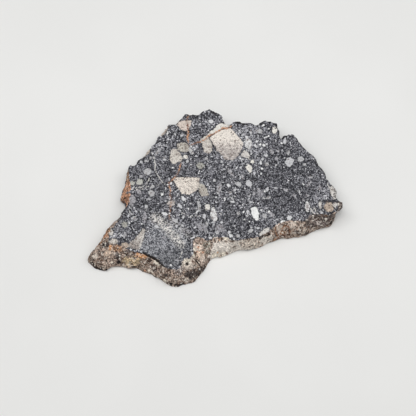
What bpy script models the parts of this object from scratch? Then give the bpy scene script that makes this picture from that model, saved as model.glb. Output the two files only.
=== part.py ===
"""A lunar meteorite: a thin slice of pale-clasted breccia, sawn flat on both faces.

The slice lies on its lower sawn face. Its edge is the stone's own outside: weathered and sloping
along the front, from the low left tip round the heel to the right tip, and broken and nearly upright
round the back. Metres, +Z up. The origin is on the table under the middle of the slice, +X runs from
the left tip to the right tip and +Y away from the weathered front.
"""

import math
from typing import NamedTuple

import bmesh
import bpy
import numpy as np
from mathutils import Vector, noise

MM = 0.001

# Driving dimensions, in millimetres
LENGTH = 51.2
WIDTH = 37.6
THICKNESS = 3.5

# How finely the edge is built, in millimetres, and how many rings it has from foot to rim
COLUMN_PITCH = 0.45
RINGS = 10

# Relief of the edge, in millimetres: sizes of its lumps, and spacing and reach of its pits
COARSE_LUMP = 2.6
FINE_LUMP = 1.0
PIT_SPACING = 1.8
PIT_REACH = 0.7
# Height of the fine lumps and depth of the pits, as shares of the coarse lumps
FINE_SHARE = 0.6
PIT_SHARE = 0.75
# Lumps are this much wider than they are tall, so that they run along the edge as ledges
LEDGE_WIDTH = 1.5
# Height of the coarse lumps, in millimetres, where the edge is broken and where it is weathered
BROKEN_ROUGH = 0.32
RIND_ROUGH = 0.54

# The rim and the foot keep this share of the relief, so that the sawn faces keep their outlines
RIM_SHARE = 0.25
# An upright drop under the rim is tucked in this far, in millimetres
TUCK = 0.12
# Columns each way that are averaged or spanned: where one stretch passes into the next, in the
# foot, where the teeth of a plain rim die out towards its foot, and for the outward direction
BLEND_COLUMNS = 2
FOOT_COLUMNS = 1
TOOTH_COLUMNS = 3
NORMAL_COLUMNS = 4
SHARP_ANGLE = math.radians(38.0)


class Stretch(NamedTuple):
    """A run of the edge, up to the first point of the next one, in millimetres seen from above."""

    name: str
    cut: tuple
    foot: tuple = ()
    flare: float = 0.0
    bulge: float = 1.5
    step: float = 0.0
    rough: float = BROKEN_ROUGH


# The edge, anticlockwise from the nose of the left tip. "cut" is the rim of the upper sawn face and
# "foot" the rim of the lower one. Where no foot is given it stands "flare" outside the rim. "bulge"
# is 1 for a straight slope and 2 for a quarter ellipse, and "step" is an upright drop under the rim.
EDGE = (
    Stretch(
        "left tip, nose",
        cut=((-21.9, -9.8), (-21.7, -10.0), (-21.4, -10.1)),
        foot=((-22.5, -9.3), (-22.9, -9.9), (-23.6, -10.5), (-23.9, -11.0), (-24.2, -11.5),
              (-24.7, -12.0), (-25.2, -12.5), (-25.5, -12.9)),
        bulge=2.0,
        rough=RIND_ROUGH,
    ),
    Stretch(
        "left tip, front",
        cut=((-21.2, -10.3), (-20.9, -10.8), (-20.4, -11.0), (-19.8, -11.1)),
        foot=((-25.6, -13.2), (-25.1, -13.3), (-25.0, -13.8), (-24.5, -14.2), (-24.2, -14.7),
              (-23.8, -15.0), (-23.3, -15.1), (-22.3, -15.1), (-21.8, -15.3), (-21.1, -14.8),
              (-20.5, -14.4), (-20.0, -14.2)),
        bulge=1.8,
        rough=RIND_ROUGH,
    ),
    Stretch(
        "saddle",
        cut=((-19.1, -11.1), (-18.6, -11.3), (-18.2, -11.8), (-17.8, -12.1), (-17.1, -12.2),
             (-16.2, -12.3), (-15.3, -12.4), (-14.6, -12.6)),
        foot=((-19.1, -14.2), (-18.2, -14.3), (-17.5, -14.5), (-16.4, -14.8), (-15.2, -14.9),
              (-14.5, -15.4), (-13.9, -15.7)),
        bulge=1.6,
        rough=RIND_ROUGH,
    ),
    Stretch(
        "fissure",
        cut=((-14.0, -12.9), (-13.5, -13.1), (-12.9, -13.4), (-12.2, -13.8), (-11.5, -14.3),
             (-11.0, -14.9)),
        foot=((-13.2, -15.7), (-12.6, -15.9), (-12.0, -16.5), (-11.4, -16.7), (-10.7, -17.0)),
        bulge=1.5,
        step=0.6,
        rough=RIND_ROUGH,
    ),
    Stretch(
        "heel",
        cut=((-10.6, -15.2), (-10.0, -15.5), (-9.3, -16.0), (-8.6, -16.1), (-7.7, -16.0),
             (-7.2, -15.9)),
        foot=((-10.0, -17.7), (-9.4, -18.2), (-8.9, -18.5), (-8.0, -18.7), (-7.6, -18.8),
              (-7.0, -18.5)),
        rough=RIND_ROUGH,
    ),
    Stretch(
        "heel, cream side",
        cut=((-6.8, -15.5), (-6.7, -15.0), (-6.5, -14.5), (-6.1, -14.0), (-5.6, -13.7),
             (-5.0, -13.7), (-4.5, -13.1)),
        foot=((-6.3, -18.4), (-5.8, -18.1), (-5.0, -17.8), (-4.3, -17.6), (-3.8, -17.4),
              (-3.4, -16.8)),
        rough=RIND_ROUGH,
    ),
    Stretch(
        "inner corner",
        cut=((-4.3, -12.4), (-4.3, -11.7), (-3.9, -11.0), (-3.9, -10.3), (-3.7, -9.7),
             (-3.2, -9.8), (-2.8, -9.9), (-2.0, -9.9), (-1.4, -9.9)),
        foot=((-2.9, -15.9), (-2.3, -15.3), (-1.9, -14.7), (-1.6, -14.2), (-1.4, -13.8),
              (-1.0, -13.2)),
        bulge=1.4,
        rough=RIND_ROUGH,
    ),
    Stretch(
        "pale shoulder",
        cut=((-0.7, -9.9), (-0.1, -9.7), (0.3, -9.3), (0.8, -9.4), (1.3, -9.5), (1.8, -9.4),
             (2.3, -9.5), (2.7, -9.9)),
        foot=((-0.5, -12.7), (-0.1, -12.3), (0.5, -12.1), (1.6, -12.1), (2.5, -11.8),
              (3.0, -11.5)),
        rough=RIND_ROUGH,
    ),
    Stretch(
        "front hollow",
        cut=((3.3, -10.0), (4.3, -10.0), (5.0, -10.0), (5.6, -9.9), (6.1, -9.8), (7.0, -9.7),
             (7.7, -9.5), (8.1, -9.4)),
        foot=((3.6, -11.2), (4.3, -11.0), (5.1, -10.8), (6.2, -10.7), (7.1, -10.7),
              (8.0, -10.6)),
        bulge=1.7,
        rough=RIND_ROUGH,
    ),
    Stretch(
        "undercut ledge",
        cut=((8.7, -9.6), (9.2, -9.4), (9.7, -8.9), (10.2, -8.8), (10.8, -8.6), (11.1, -8.1)),
        foot=((8.8, -10.6), (9.2, -10.3), (9.6, -9.8), (10.2, -9.5), (11.1, -9.2)),
        step=0.5,
        rough=RIND_ROUGH,
    ),
    Stretch(
        "right front",
        cut=((11.6, -7.6), (12.3, -7.2), (13.0, -7.0), (13.8, -6.7), (14.5, -6.4), (15.1, -6.1),
             (15.7, -5.9), (16.4, -5.9), (17.0, -6.0), (17.8, -5.7), (18.8, -5.4), (19.7, -5.1),
             (20.6, -5.0), (21.8, -5.0)),
        foot=((12.2, -8.8), (12.8, -8.4), (13.6, -8.3), (14.4, -8.3), (15.4, -8.2), (16.3, -8.1),
              (17.2, -8.0), (17.9, -7.8), (18.4, -7.6), (18.8, -7.2), (19.4, -6.9), (20.1, -6.7),
              (20.8, -6.4), (21.6, -6.1)),
        rough=RIND_ROUGH,
    ),
    Stretch(
        "right end",
        cut=((22.5, -5.0), (23.0, -4.9), (23.7, -4.5), (24.0, -4.3)),
        foot=((22.3, -6.0), (22.9, -6.0), (23.2, -5.7), (23.4, -5.2), (23.8, -4.6)),
        bulge=1.7,
        rough=RIND_ROUGH,
    ),
    Stretch(
        "right tip, overhanging",
        cut=((24.5, -4.0), (24.9, -3.8), (25.2, -3.4), (25.5, -3.0), (25.5, -2.3), (25.4, -1.9),
             (25.0, -1.8)),
        foot=((23.8, -4.0), (24.0, -3.4), (24.3, -2.8), (24.4, -2.2), (24.4, -1.8)),
        bulge=2.0,
    ),
    Stretch(
        "right flank",
        cut=((24.6, -1.5), (24.3, -1.2), (24.1, -0.8), (24.3, -0.3), (24.4, 0.2), (24.3, 0.7),
             (24.1, 1.1), (23.8, 1.4), (23.5, 1.8), (23.1, 2.1), (22.8, 2.6), (22.5, 3.0),
             (22.2, 3.1), (22.1, 3.5), (22.1, 4.0), (22.0, 4.6), (21.8, 5.0), (21.4, 5.6),
             (20.8, 6.2), (20.6, 6.8), (20.4, 7.3), (20.1, 7.9), (19.8, 8.3), (19.5, 8.5),
             (19.0, 8.8), (18.7, 9.2), (18.3, 9.6), (18.0, 10.0), (17.6, 10.4), (17.4, 10.9),
             (17.0, 11.4), (16.8, 11.9), (16.6, 12.3), (16.3, 12.6), (16.0, 13.0),
             (15.6, 13.1), (15.1, 13.1), (14.9, 13.0), (14.6, 12.7), (14.2, 12.8)),
        flare=-0.2,
    ),
    Stretch(
        "right notch",
        cut=((13.8, 12.7), (13.7, 12.3), (13.4, 11.9), (13.1, 12.1), (12.9, 12.6)),
        flare=0.3,
    ),
    Stretch(
        "back edge",
        cut=((13.0, 13.1), (13.2, 13.4), (13.2, 13.8), (13.0, 14.1), (12.7, 14.3), (12.6, 14.7),
             (12.8, 15.0), (12.7, 15.3), (12.4, 15.7), (11.9, 15.7), (11.6, 15.9), (11.1, 16.0),
             (10.6, 15.9), (10.3, 16.2), (10.0, 16.2), (9.8, 15.9), (9.4, 15.8), (9.0, 15.6),
             (8.8, 15.2), (8.1, 15.1), (7.8, 15.3), (7.6, 15.5), (6.8, 15.6), (6.1, 15.6),
             (5.5, 15.5), (5.1, 15.9), (4.8, 16.0), (4.1, 16.0), (3.7, 15.9)),
        flare=-0.3,
    ),
    Stretch(
        "notch where the crack meets the edge",
        cut=((3.4, 15.7), (3.2, 15.3), (2.9, 15.1), (2.2, 15.2), (1.9, 15.4)),
        flare=0.4,
    ),
    Stretch(
        "summit",
        cut=((1.9, 15.7), (1.7, 16.1), (1.5, 16.5), (1.5, 17.0), (1.3, 17.3), (0.8, 17.6),
             (0.1, 18.0), (-0.4, 18.3), (-0.8, 18.5), (-1.2, 18.8), (-1.4, 18.6), (-1.7, 18.4),
             (-2.2, 18.4), (-2.7, 18.1), (-3.0, 17.7), (-3.3, 17.4), (-3.8, 17.3), (-4.2, 17.5),
             (-4.7, 17.5), (-5.0, 17.3), (-5.4, 17.5), (-5.8, 17.7), (-6.2, 17.5), (-6.5, 17.1),
             (-6.8, 16.7), (-7.3, 16.2), (-7.6, 15.8), (-7.8, 15.5), (-8.0, 15.1), (-8.3, 15.3),
             (-9.0, 15.2)),
        flare=-0.3,
    ),
    Stretch(
        "upper cream facet",
        cut=((-9.4, 15.2), (-9.2, 14.5), (-9.6, 13.9), (-10.0, 13.4), (-10.4, 12.9)),
        flare=1.15,
    ),
    Stretch(
        "upper left, broken",
        cut=((-11.1, 12.6), (-11.6, 12.4), (-11.7, 11.9), (-12.0, 11.6), (-12.1, 11.1),
             (-12.4, 10.8), (-12.9, 10.4)),
        flare=-0.1,
    ),
    Stretch(
        "lower cream facet",
        cut=((-13.0, 9.9), (-13.0, 9.1), (-13.4, 8.5), (-13.8, 8.1)),
        flare=1.15,
    ),
    Stretch(
        "left corner",
        cut=((-14.5, 7.7), (-15.1, 7.5), (-15.6, 7.2), (-15.8, 6.8), (-15.9, 6.3), (-16.2, 6.1),
             (-16.7, 6.0), (-17.0, 6.3), (-17.4, 5.9)),
        flare=0.0,
    ),
    Stretch(
        "left shoulder",
        cut=((-17.5, 5.4), (-17.4, 4.8), (-17.3, 4.2)),
        flare=0.7,
    ),
    Stretch(
        "rusty ledge",
        cut=((-17.2, 3.4), (-17.1, 2.6), (-17.0, 1.8), (-17.0, 0.9), (-17.1, 0.2), (-17.2, -0.6)),
        foot=((-18.1, 3.6), (-18.2, 2.8), (-18.4, 2.0), (-18.6, 1.2), (-18.8, 0.6), (-19.1, 0.2),
              (-19.3, -0.2)),
        bulge=2.0,
        rough=0.2,
    ),
    Stretch(
        "end of the ledge",
        cut=((-17.0, -1.3), (-17.1, -1.9)),
        foot=((-19.1, -0.5), (-18.5, -0.6), (-18.2, -1.1), (-18.2, -1.6)),
        bulge=2.0,
    ),
    Stretch(
        "left flank, upper",
        cut=((-17.5, -2.4), (-17.8, -2.9), (-18.0, -3.4), (-18.3, -3.8), (-18.5, -4.3),
             (-18.7, -4.8), (-18.9, -5.2)),
        flare=0.4,
    ),
    Stretch(
        "left flank, rusty",
        cut=((-19.2, -5.7), (-19.6, -6.3), (-20.1, -6.9), (-20.6, -7.4), (-21.0, -8.1),
             (-21.3, -8.9), (-21.6, -9.4)),
        flare=1.15,
    ),
)

# Lower and upper sawn face, and the weathered wall between them: colour and roughness
SAWN_FINISH = ((0.105, 0.105, 0.115), 0.62)
RIND_FINISH = ((0.235, 0.175, 0.125), 0.88)


class Column(NamedTuple):
    """One upright line of the edge: its ends seen from above, the way out, and its form."""

    rim: Vector
    foot: Vector
    outward: Vector
    bulge: float
    step: float
    rough: float


def run_lengths(points):
    """The distance along a line of straight runs at each of its points."""
    runs = np.hypot(*np.diff(points, axis=0).T)
    return np.concatenate(([0.0], np.cumsum(runs)))


def point_along(points, share):
    """The points at these shares of a line's length."""
    along = run_lengths(points)
    wanted = np.asarray(share) * along[-1]
    return np.column_stack([np.interp(wanted, along, points[:, axis]) for axis in (0, 1)])


def column_shares(cut, foot_length):
    """Where the columns stand along a stretch: on each corner of its rim, and evenly between them."""
    along = run_lengths(cut)
    pitch = COLUMN_PITCH * min(1.0, along[-1] / foot_length)
    shares = []
    for start, end in zip(along, along[1:]):
        count = max(1, round((end - start) / pitch))
        shares.extend(start + (end - start) * step / count for step in range(count))
    return np.array(shares) / along[-1]


def outward_directions(rims):
    """Unit vectors pointing out of the anticlockwise outline, smoothed over a few columns."""
    ahead = np.roll(rims, -NORMAL_COLUMNS, axis=0)
    behind = np.roll(rims, NORMAL_COLUMNS, axis=0)
    along = ahead - behind
    outward = np.column_stack((along[:, 1], -along[:, 0]))
    return outward / np.linalg.norm(outward, axis=1)[:, None]


def averaged(values, reach):
    """Values averaged with their neighbours round the closed edge."""
    shifts = range(-reach, reach + 1)
    return sum(np.roll(values, shift, axis=0) for shift in shifts) / len(shifts)


def edge_columns():
    """The columns of the whole edge, anticlockwise."""
    rims, feet, flares, forms = [], [], [], []
    for stretch, following in zip(EDGE, EDGE[1:] + EDGE[:1]):
        cut = np.array(stretch.cut + following.cut[:1])
        foot = np.array(stretch.foot + following.foot[:1]) if stretch.foot else cut
        shares = column_shares(cut, run_lengths(foot)[-1])
        rims.extend(point_along(cut, shares))
        feet.extend(point_along(foot, shares))
        flares.extend([None if stretch.foot else stretch.flare] * len(shares))
        forms.extend([(stretch.bulge, stretch.step, stretch.rough)] * len(shares))
    rims = np.array(rims)
    outward = outward_directions(rims)
    toothless = averaged(rims, TOOTH_COLUMNS)
    feet = np.array([
        foot if flare is None else plain + out * flare
        for foot, flare, plain, out in zip(feet, flares, toothless, outward)
    ])
    feet = averaged(feet, FOOT_COLUMNS)
    forms = averaged(np.array(forms), BLEND_COLUMNS)
    return [
        Column(Vector(rim), Vector(foot), Vector(out), *form)
        for rim, foot, out, form in zip(rims, feet, outward, forms)
    ]


def relief(place):
    """How far the surface stands out at a place: lumps of two sizes, less the pits between them."""
    squat = Vector((place.x, place.y, place.z * LEDGE_WIDTH))
    lumps = noise.noise(squat / COARSE_LUMP) + FINE_SHARE * noise.noise(squat / FINE_LUMP)
    nearest = noise.voronoi(squat / PIT_SPACING)[0][0] * PIT_SPACING
    pit = max(0.0, 1.0 - nearest / PIT_REACH)
    return lumps - PIT_SHARE * pit


def wall_point(column, level):
    """The point of a column at a level, from 0 at the foot to 1 at the rim."""
    below_step = THICKNESS * (1.0 - level) - column.step
    if below_step <= 0.0:
        share = 0.0
        out = -TUCK if level < 1.0 else 0.0
    else:
        height = 1.0 - below_step / (THICKNESS - column.step)
        share = (1.0 - height ** column.bulge) ** (1.0 / column.bulge)
        out = 0.0
    flat = column.rim.lerp(column.foot, share)
    place = Vector((flat.x, flat.y, THICKNESS * level))
    out += relief(place) * column.rough * (RIM_SHARE if level in (0.0, 1.0) else 1.0)
    flat += column.outward * out
    return Vector((flat.x, flat.y, THICKNESS * level))


def raise_wall(mesh, cap, ring):
    """Extrudes the cap face and sets its new rim on the points of a ring."""
    made = bmesh.ops.extrude_face_region(mesh, geom=[cap])["geom"]
    new_cap = next(item for item in made if isinstance(item, bmesh.types.BMFace))
    for vert, point in zip(new_cap.verts, ring):
        vert.co = point
    return new_cap


def drop_inner_caps(mesh, caps):
    """Removes the caps left inside the slice by each extrusion, but not the lower sawn face."""
    inner = [cap for cap in caps[1:-1] if cap.is_valid]
    bmesh.ops.delete(mesh, geom=inner, context="FACES_ONLY")


def fit_to_size(mesh):
    """Scales the slice to its driving dimensions and centres it over the origin."""
    corners = np.array([vert.co for vert in mesh.verts])
    low = corners.min(axis=0)
    high = corners.max(axis=0)
    size = high - low
    middle = Vector(((low[0] + high[0]) / 2, (low[1] + high[1]) / 2, low[2]))
    bmesh.ops.translate(mesh, vec=-middle, verts=mesh.verts)
    scale = (LENGTH * MM / size[0], WIDTH * MM / size[1], THICKNESS * MM / size[2])
    bmesh.ops.scale(mesh, vec=scale, verts=mesh.verts)


def slice_mesh():
    """The slice: its lower sawn face, raised ring by ring to the upper one."""
    columns = edge_columns()
    levels = [ring / (RINGS - 1) for ring in range(RINGS)]
    rings = [[wall_point(column, level) for column in columns] for level in levels]
    mesh = bmesh.new()
    caps = [mesh.faces.new([mesh.verts.new(point) for point in rings[0]])]
    for ring in rings[1:]:
        caps.append(raise_wall(mesh, caps[-1], ring))
    drop_inner_caps(mesh, caps)
    bmesh.ops.recalc_face_normals(mesh, faces=mesh.faces)
    fit_to_size(mesh)
    return mesh


def stone_material(name, finish):
    """A plain stone material."""
    colour, roughness = finish
    material = bpy.data.materials.new(name)
    material.use_nodes = True
    shader = material.node_tree.nodes["Principled BSDF"]
    shader.inputs["Base Color"].default_value = (*colour, 1.0)
    shader.inputs["Roughness"].default_value = roughness
    shader.inputs["Metallic"].default_value = 0.0
    return material


def add_slice():
    """Puts the slice in the scene, with one finish on the sawn faces and one on the wall."""
    made = slice_mesh()
    data = bpy.data.meshes.new("meteorite_slice")
    data.materials.append(stone_material("sawn_breccia", SAWN_FINISH))
    data.materials.append(stone_material("weathered_rind", RIND_FINISH))
    for face in made.faces:
        face.material_index = 0 if len(face.verts) > 4 else 1
    made.to_mesh(data)
    made.free()
    data.shade_smooth()
    data.set_sharp_from_angle(angle=SHARP_ANGLE)
    bpy.context.collection.objects.link(bpy.data.objects.new("meteorite_slice", data))


def main():
    for obj in list(bpy.data.objects):
        bpy.data.objects.remove(obj, do_unlink=True)
    add_slice()


main()
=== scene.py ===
"""The looks of the lunar meteorite slice: a dark breccia full of pale clasts, with a weathered rind.

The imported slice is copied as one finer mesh. Its clasts, cracks and rind are stated below as places on
the stone in millimetres, in the part's own frame. From them each vertex gets its distances inside the
clasts and cracks, and the stone's material draws their edges, grain and colours from these.
"""

import math
from typing import NamedTuple

import bpy
import numpy as np
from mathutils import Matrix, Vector, noise
from mathutils.kdtree import KDTree


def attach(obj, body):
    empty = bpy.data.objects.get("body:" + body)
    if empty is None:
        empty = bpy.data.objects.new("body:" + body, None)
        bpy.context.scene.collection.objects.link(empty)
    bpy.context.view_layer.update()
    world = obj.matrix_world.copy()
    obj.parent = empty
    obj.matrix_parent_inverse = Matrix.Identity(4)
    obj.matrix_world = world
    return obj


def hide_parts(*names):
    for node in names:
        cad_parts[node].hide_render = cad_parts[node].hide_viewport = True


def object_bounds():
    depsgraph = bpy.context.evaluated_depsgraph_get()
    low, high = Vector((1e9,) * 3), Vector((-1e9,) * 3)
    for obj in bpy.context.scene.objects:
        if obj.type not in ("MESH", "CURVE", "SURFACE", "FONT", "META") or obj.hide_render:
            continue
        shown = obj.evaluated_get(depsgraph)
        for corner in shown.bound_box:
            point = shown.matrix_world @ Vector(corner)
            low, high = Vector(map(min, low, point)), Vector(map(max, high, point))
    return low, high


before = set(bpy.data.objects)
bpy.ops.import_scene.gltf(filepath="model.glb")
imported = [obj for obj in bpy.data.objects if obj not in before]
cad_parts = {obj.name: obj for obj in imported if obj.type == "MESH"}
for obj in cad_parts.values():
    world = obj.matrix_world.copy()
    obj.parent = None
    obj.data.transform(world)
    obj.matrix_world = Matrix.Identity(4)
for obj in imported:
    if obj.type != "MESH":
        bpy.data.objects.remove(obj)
cad_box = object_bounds()

MM = 0.001
THICKNESS = 3.5

# The fine mesh, in millimetres: its facets, and how near to a sawn plane a vertex is moved onto it
FACET = 0.18
SNAP = 0.10
# Relief added to the wall: size of the lumps and how far they stand out, in millimetres
WALL_LUMPS = ((1.4, 0.20), (0.6, 0.17), (0.3, 0.08))
# The relief dies out this near to the sawn faces
RELIEF_FADE = 0.45
# A pit is this deep in the wall for each millimetre of its reach
PIT_DEPTH = 0.5
# How far below the sawn face the rim is measured, and how far the rind comes in where nothing more is said
RIM_BELOW = 0.35
PLAIN_REACH = 0.1
# Size of the bulges in the outlines of the rind's patches, and their height for each millimetre of reach
PATCH_BULGES = 0.7
BULGE_HEIGHT = 0.7
# Behind this line across the slice, given by its y at x = 0 and its slope, the wall is broken rock
RIND_LINE = (-4.5, 0.06)
RIND_LINE_BLUR = 1.5
# A distance for places that are inside nothing
FAR_OUTSIDE = -5.0


def seen(red, green, blue):
    """A colour as it looks, each part from 0 to 255, as the linear colour that a shader takes."""
    parts = (part / 255.0 for part in (red, green, blue))
    return (*(part / 12.92 if part <= 0.04045 else ((part + 0.055) / 1.055) ** 2.4 for part in parts), 1.0)


class Look(NamedTuple):
    """The finish of a clast: its colour, its share of dark grains, and how far it melts into the matrix."""

    colour: tuple
    speckle: float
    haze: float = 0.0


# The looks by name: red, green and blue as they look, the share of dark grains, and the haze
LOOKS = {name: Look(seen(*look[:3]), *look[3:]) for name, look in {
    "white": (235, 235, 234, 0.0),
    "warm white": (226, 222, 215, 0.05),
    "cream": (233, 225, 216, 0.16),
    "speckled cream": (233, 224, 214, 0.5),
    "speckled pink": (222, 214, 208, 0.75, 0.3),
    "mottled white": (220, 219, 219, 0.4, 0.1),
    "warm grey": (211, 207, 202, 0.3),
    "bright grey": (216, 216, 218, 0.0),
    "pale grey": (212, 206, 198, 0.4, 0.05),
    "cool grey": (200, 200, 203, 0.1, 0.1),
    "soft grey": (187, 187, 189, 0.25, 0.1),
    "mid grey": (180, 179, 183, 0.3, 0.3),
    "grey": (202, 197, 187, 0.7, 0.15),
    "smooth grey": (188, 188, 181, 0.2, 0.05),
    "grainy pale": (216, 210, 203, 0.5, 0.2),
    "pink grey": (186, 179, 172, 0.6, 0.35),
    "greenish": (182, 182, 174, 0.45, 0.3),
    "tan": (184, 170, 156, 0.35, 0.15),
    "brown": (158, 134, 114, 0.5, 0.1),
    "dull": (166, 165, 170, 0.3, 0.35),
    "pale tan": (214, 201, 191, 0.25, 0.05),
    "speckled tan": (200, 184, 168, 0.6, 0.05),
    # The dark look also gives a painted shadow under the ledge at the right tip
    "dark": (58, 57, 62, 0.2, 0.2),
}.items()}


class Clast(NamedTuple):
    """A large clast: its look, its outline on the upper sawn face, and how it goes on downwards.

    It shrinks by "taper" and moves by "lean" for each millimetre of depth. Between the two y of "fades",
    going down the photograph, its look turns into "lower_look".
    """

    look: str
    outline: tuple
    taper: float = 0.4
    lean: tuple = (0.0, 0.0)
    lower_look: str = ""
    fades: tuple = (0.0, 0.0)


CLASTS = (
    # Largest clast, below the crack
    Clast("cream", (
        (-1.1, 12.2), (0.2, 13.4), (1.3, 14), (2.8, 14.5), (3.3, 14.2), (3.9, 13.5), (4.5, 12.7), (5.1, 12),
        (5.6, 11.1), (5.6, 10.5), (5.3, 9.7), (5.1, 8.9), (4.6, 8.1), (3.7, 7.4), (2.4, 7.3), (1.8, 7.5),
        (1.4, 8.3), (0.9, 8.8), (0.3, 9.4), (-0.2, 10.5), (-0.7, 11.4),
    ), taper=0.3, lean=(0.15, -0.1), lower_look="speckled pink", fades=(12.6, 9.2)),
    # Wedge above the crack
    Clast("warm white", (
        (-1.8, 12.7), (-1.1, 13.6), (-0.2, 14.2), (0.2, 14.9), (0.9, 15.4), (1.9, 15.6), (3, 15.3),
        (3, 14.8), (1.6, 14.4), (0.2, 13.4),
    ), taper=0.2),
    # Rounded clast beside the largest
    Clast("pale grey", (
        (-3.3, 11.6), (-2.5, 12.4), (-1.7, 12.8), (-1.1, 11.9), (-0.7, 11), (-0.6, 10), (-0.7, 9.2),
        (-1.3, 8.7), (-1.8, 8.8), (-2.3, 9.2), (-2.6, 10.2), (-2.8, 11),
    )),
    # Triangle under the upper left edge
    Clast("pale tan", (
        (-7.9, 15.2), (-7.6, 15.8), (-6.9, 16), (-5.9, 16.1), (-4.9, 16.2), (-4.9, 15.6), (-5.2, 14.6),
        (-5.6, 13.8), (-6.3, 13.7), (-7, 14.1),
    )),
    # Speckled clast left of the crack's bend
    Clast("grey", (
        (-7.8, 10.9), (-7, 11.2), (-6.4, 11.2), (-5.6, 10.9), (-5.3, 10), (-5.2, 9.4), (-6, 9), (-6.8, 9.1),
        (-7.6, 9.6),
    )),
    # Its lower neighbour
    Clast("pale grey", (
        (-9, 9.6), (-8.2, 9.8), (-7.6, 9.3), (-7.1, 8.8), (-6.9, 8), (-6.6, 7.6), (-6.8, 7), (-7.6, 6.9),
        (-8.2, 6.3), (-8.9, 6.7), (-9.2, 7.3), (-9.2, 8.2),
    )),
    # Four-sided clast in the middle
    Clast("speckled cream", (
        (-8.6, 3.1), (-7.7, 3.5), (-5.5, 3.5), (-3.2, 3.3), (-3.3, 1.5), (-3.9, 0.5), (-5.1, -0.3),
        (-6.7, -0.1), (-7.7, 1.3),
    )),
    # Grey bit at its right
    Clast("grey", (
        (-3.1, 2.2), (-2.5, 1.8), (-1.7, 0.9), (-1.3, -0.6), (-2.7, -0.6), (-3.4, 0.5),
    )),
    # Bright crystal right of the middle
    Clast("white", (
        (7.1, -3.3), (7.7, -2.9), (8.2, -3.1), (8.5, -3.9), (8.7, -4.9), (8.6, -5.7), (8.1, -5.8),
        (7.6, -5.3), (7.2, -4.5),
    )),
    # Long crystal below the middle
    Clast("mottled white", (
        (-0.4, -3), (0, -3.6), (0.2, -4.5), (0.4, -5.5), (0.1, -6), (-0.4, -6), (-0.8, -5.4), (-1.1, -4.3),
        (-0.8, -3.4),
    )),
    # Six-sided clast near the right edge
    Clast("cool grey", (
        (14.1, 7), (14.6, 7.6), (15.1, 7.9), (15.8, 7.5), (15.9, 7), (15.4, 6.1), (15, 5.7), (14.5, 6),
        (14.1, 6.6),
    )),
    # Wedge right of the largest
    Clast("warm grey", (
        (5.3, 8.6), (5.9, 9.5), (6.6, 9), (7, 8.1), (6.9, 7.4), (6.2, 7.8), (5.4, 8),
    )),
    # Drop right of the middle
    Clast("warm white", (
        (6, 5.6), (6.6, 6.3), (7.3, 6.1), (7.4, 5.3), (7, 4.2), (6.7, 4.9),
    )),
    # Pale triangle near the left tip
    Clast("grainy pale", (
        (-14.5, -7.6), (-14, -7.9), (-14.2, -9.2), (-14.4, -10.2), (-14.8, -11.2), (-15.1, -12),
        (-16.6, -11.9), (-17.4, -11.4), (-17, -10.6), (-16.1, -9.9), (-15.4, -9.1), (-14.9, -8.4),
    ), lower_look="pink grey", fades=(-9.4, -11)),
)


class Grain(NamedTuple):
    """A small clast: its look, middle and half sizes, and how far it is turned anticlockwise."""

    look: str
    x: float
    y: float
    across: float
    along: float
    turn: float = 0.0


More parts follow.
